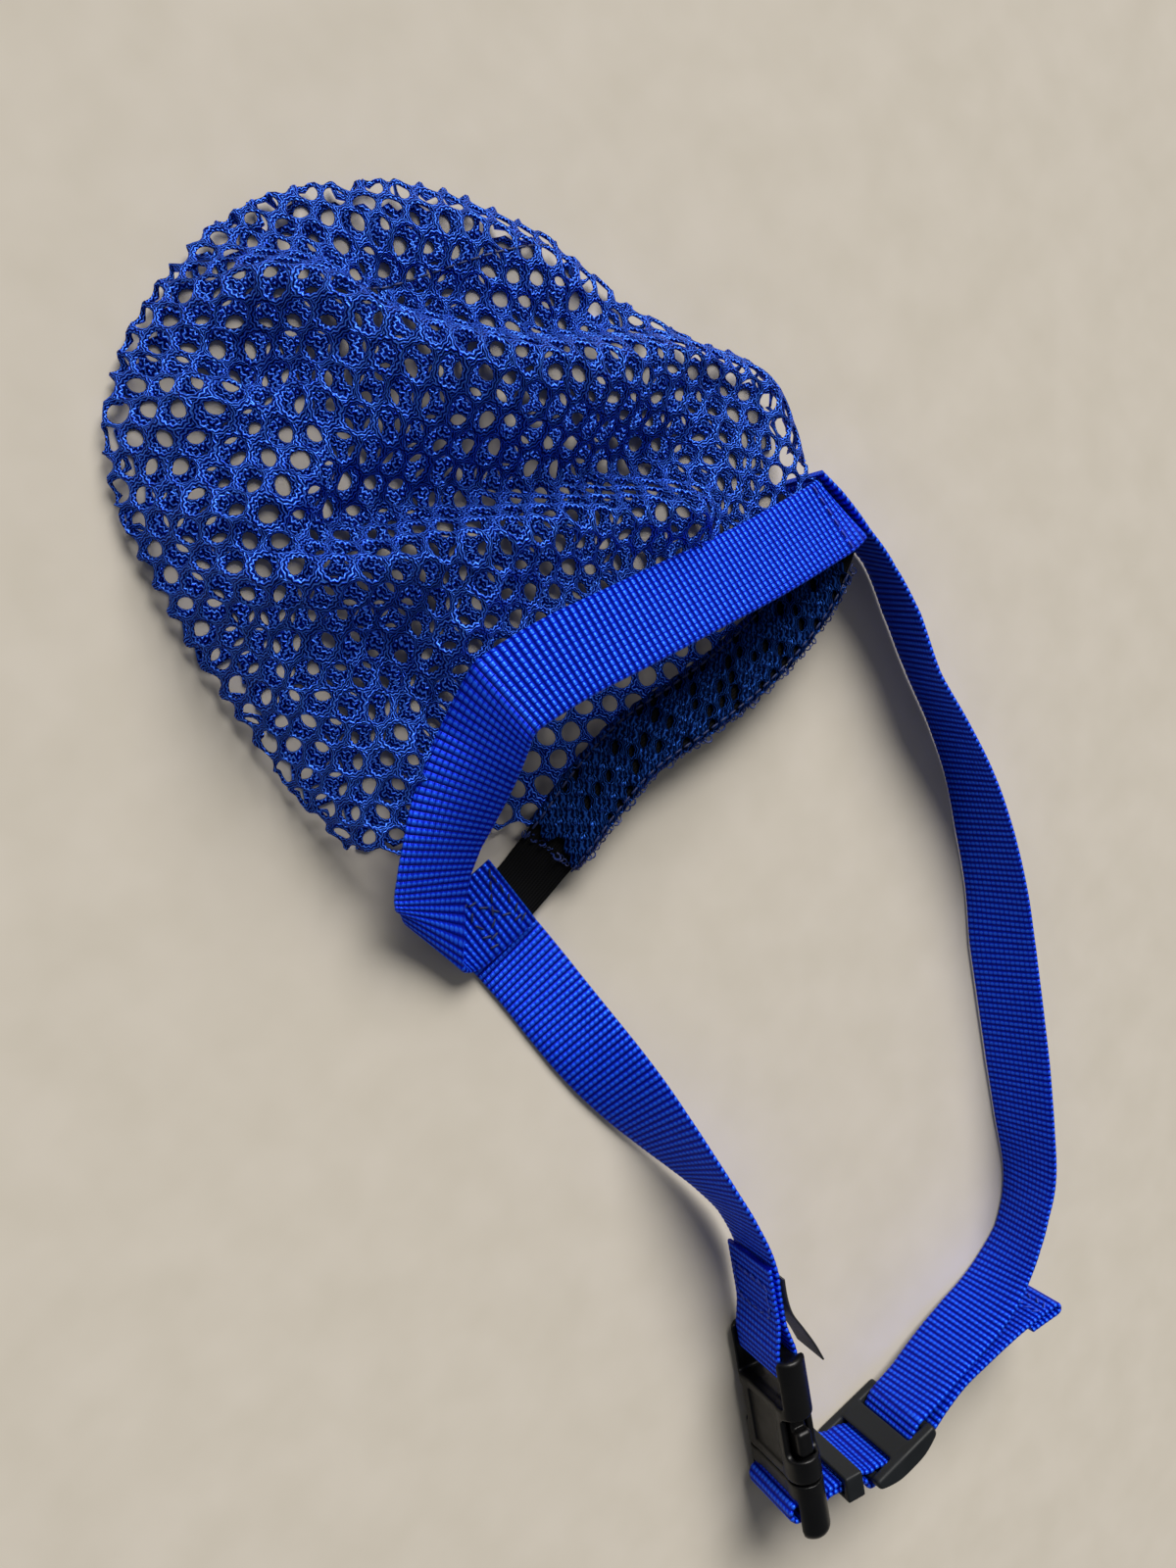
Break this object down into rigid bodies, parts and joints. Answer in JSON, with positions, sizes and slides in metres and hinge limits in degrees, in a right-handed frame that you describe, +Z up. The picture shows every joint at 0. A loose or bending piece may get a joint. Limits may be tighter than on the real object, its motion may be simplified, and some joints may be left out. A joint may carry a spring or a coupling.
{
  "type": "mesh muzzle",
  "caption": "Soft mesh muzzle: a mesh pouch with a webbing nose band and elastic chin hem, closed by an adjustable neck strap with a side-release buckle, slider and keeper.",
  "frame": {"origin": "Middle of the object's bounding box in plan, on the table it lies on.", "axes": "+Z is up from the table, +Y runs from the neck strap to the pouch's closed end, and +X runs across the mouth to the nose band's right fold."},
  "size_m": [0.2115, 0.3602, 0.0399],
  "materials": {
    "webbing": "ribbed blue polyester webbing with a slight sheen",
    "mesh": "open knitted blue polyester mesh",
    "elastic": "woven black elastic with fine lengthwise ribs",
    "plastic": "satin black moulded plastic",
    "tag_cloth": "thin black woven cloth",
    "thread": "blue sewing thread"
  },
  "bodies": {
    "bag": {"upper_panel": "mesh", "lower_panel": "mesh", "chin_hem": "mesh", "chin_elastic": "elastic", "nose_band": "webbing", "nose_band_thread": "thread", "left_junction_thread": "thread", "right_junction_thread": "thread", "hem_thread_inner": "thread", "hem_thread_outer": "thread", "pouch_seam_thread": "thread"},
    "neck_strap": {"left_strap": "webbing", "right_strap": "webbing", "buckle_socket": "plastic", "blank_tag": "tag_cloth", "socket_loop_thread": "thread"},
    "plug": {"buckle_plug": "plastic", "tail_thread": "thread"},
    "upper_arm": {"upper_release_arm": "plastic"},
    "lower_arm": {"lower_release_arm": "plastic"},
    "slider": {"slider": "plastic"},
    "keeper": {"strap_keeper": "plastic"}
  },
  "joints": [
    {"name": "neck_strap_swing", "type": "hinge", "parent": "bag", "child": "neck_strap", "pos_m": [0.0257, 0.0227, 0.0065], "axis": [-0.9967, -0.0498, -0.0641], "range_deg": [0, 90], "deforming": ["left_strap", "right_strap"]},
    {"name": "buckle_release", "type": "slide", "parent": "neck_strap", "child": "plug", "axis": [-0.5592, -0.829, 0], "range_m": [0, 0.03], "deforming": ["right_strap", "upper_release_arm", "lower_release_arm"]},
    {"name": "upper_arm_press", "type": "hinge", "parent": "plug", "child": "upper_arm", "pos_m": [-0.09277, -0.13282, 0.0223], "axis": [-0.829, 0.5592, 0], "range_deg": [0, 10], "stiffness_Nm_per_rad": 0.05},
    {"name": "lower_arm_press", "type": "hinge", "parent": "plug", "child": "lower_arm", "pos_m": [-0.09277, -0.13282, 0.0055], "axis": [0.829, -0.5592, 0], "range_deg": [0, 10], "stiffness_Nm_per_rad": 0.05},
    {"name": "slider_adjust", "type": "slide", "parent": "plug", "child": "slider", "axis": [0.9659, -0.2588, 0], "range_m": [0, 0.015]},
    {"name": "keeper_slide", "type": "slide", "parent": "plug", "child": "keeper", "axis": [-0.829, 0.5592, 0], "range_m": [0, 0.004]}
  ],
  "couplings": [
    {"joint": "lower_arm_press", "follows": "upper_arm_press", "ratio": 1}
  ]
}
